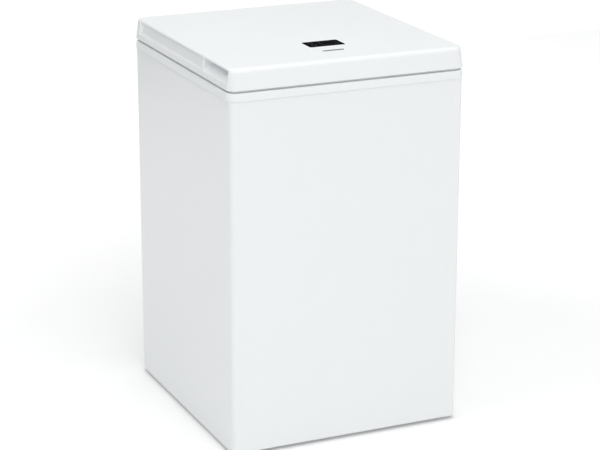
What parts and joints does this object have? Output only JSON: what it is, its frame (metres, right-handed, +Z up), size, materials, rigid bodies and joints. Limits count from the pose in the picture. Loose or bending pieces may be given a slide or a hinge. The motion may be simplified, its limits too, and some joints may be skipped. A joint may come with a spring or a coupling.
{
  "type": "chest freezer",
  "caption": "Compact white chest freezer: foamed steel cabinet, counterbalanced lid with side hand pockets and a display window, wire basket, drain and rear compressor bay.",
  "frame": {"origin": "on the floor under the centre of the bounding box", "axes": "+X towards the side on the right of someone who faces the front; the front faces -Y; +Z up"},
  "size_m": [0.527, 0.569, 0.8254],
  "materials": {
    "white_paint": "satin",
    "white_lid": "satin",
    "white_plastic": "satin",
    "liner_white": "satin",
    "pale_plastic": "satin",
    "galvanised_steel": "satin",
    "steel": "satin",
    "black_paint": "satin",
    "black_plastic": "satin",
    "display_glass": "gloss",
    "black_rubber": "matte",
    "grey_rubber": "matte",
    "rigid_foam": "matte",
    "copper": "satin",
    "circuit_board": "satin",
    "led_plastic": "satin",
    "badge_metal": "satin",
    "coated_wire": "satin"
  },
  "bodies": {
    "cabinet": {"cabinet_wrapper": "white_paint", "top_collar": "white_plastic", "inner_liner": "liner_white", "temperature_probe": "pale_plastic", "drain_tube": "pale_plastic", "power_board_box": "pale_plastic", "wall_spacer_left": "pale_plastic", "wall_spacer_right": "pale_plastic", "rear_panel": "galvanised_steel", "base_plate": "galvanised_steel", "bay_floor": "galvanised_steel", "bay_cover": "galvanised_steel", "hinge_body_left": "galvanised_steel", "hinge_body_right": "galvanised_steel", "compressor_foot_plate": "steel", "hinge_pin_left": "steel", "hinge_pin_right": "steel", "compressor_shell": "black_paint", "terminal_cover": "black_plastic", "cable_gland": "black_plastic", "foot_front_left": "black_plastic", "foot_front_right": "black_plastic", "foot_rear_left": "black_plastic", "foot_rear_right": "black_plastic", "grommet_front_left": "black_rubber", "grommet_front_right": "black_rubber", "grommet_rear_left": "black_rubber", "grommet_rear_right": "black_rubber", "foam_insulation": "rigid_foam", "evaporator_coil": "copper", "condenser_coil": "copper", "filter_drier": "copper", "discharge_tube": "copper", "suction_tube": "copper", "liquid_tube": "copper", "capillary_tube": "copper"},
    "lid": {"lid_outer": "white_lid", "lid_inner": "white_plastic", "lid_foam": "rigid_foam", "lid_gasket": "grey_rubber", "display_lens": "display_glass", "display_housing": "black_plastic", "control_board": "circuit_board", "digit_module": "led_plastic", "name_plate": "badge_metal", "hinge_leaf_left": "galvanised_steel", "hinge_leaf_right": "galvanised_steel"},
    "hinge_slider_left": {"hinge_slider_left": "black_plastic", "hinge_spring_left": "steel"},
    "hinge_slider_right": {"hinge_slider_right": "black_plastic", "hinge_spring_right": "steel"},
    "basket": {"basket": "coated_wire"},
    "basket_handle_left": {"basket_handle_left": "coated_wire", "handle_grip_left": "pale_plastic"},
    "basket_handle_right": {"basket_handle_right": "coated_wire", "handle_grip_right": "pale_plastic"},
    "drain_plug": {"drain_plug": "grey_rubber"},
    "drain_cap": {"drain_cap": "pale_plastic"}
  },
  "joints": [
    {"name": "lid_hinge", "type": "hinge", "parent": "cabinet", "child": "lid", "pos_m": [0, 0.2765, 0.779], "axis": [-1, 0, 0], "range_deg": [0, 78]},
    {"name": "hinge_slider_left", "type": "slide", "parent": "cabinet", "child": "hinge_slider_left", "axis": [0, 0, 1], "range_m": [0, 0.0025], "deforming": ["hinge_spring_left"]},
    {"name": "hinge_slider_right", "type": "slide", "parent": "cabinet", "child": "hinge_slider_right", "axis": [0, 0, 1], "range_m": [0, 0.0025], "deforming": ["hinge_spring_right"]},
    {"name": "basket_slide", "type": "slide", "parent": "cabinet", "child": "basket", "axis": [1, 0, 0], "range_m": [-0.09, 0.09]},
    {"name": "basket_handle_left", "type": "hinge", "parent": "basket", "child": "basket_handle_left", "pos_m": [-0.09, -0.009, 0.697], "axis": [0, -1, 0], "range_deg": [0, 175]},
    {"name": "basket_handle_right", "type": "hinge", "parent": "basket", "child": "basket_handle_right", "pos_m": [0.09, -0.009, 0.697], "axis": [0, 1, 0], "range_deg": [0, 175]},
    {"name": "drain_plug_pull", "type": "slide", "parent": "cabinet", "child": "drain_plug", "axis": [0, 0, 1], "range_m": [0, 0.025]},
    {"name": "drain_cap_pull", "type": "slide", "parent": "cabinet", "child": "drain_cap", "axis": [0, 1, 0], "range_m": [0, 0.02]}
  ],
  "couplings": [
    {"joint": "hinge_slider_left", "follows": "lid_hinge", "m_per_rad": 0.0018},
    {"joint": "hinge_slider_right", "follows": "lid_hinge", "m_per_rad": 0.0018}
  ]
}
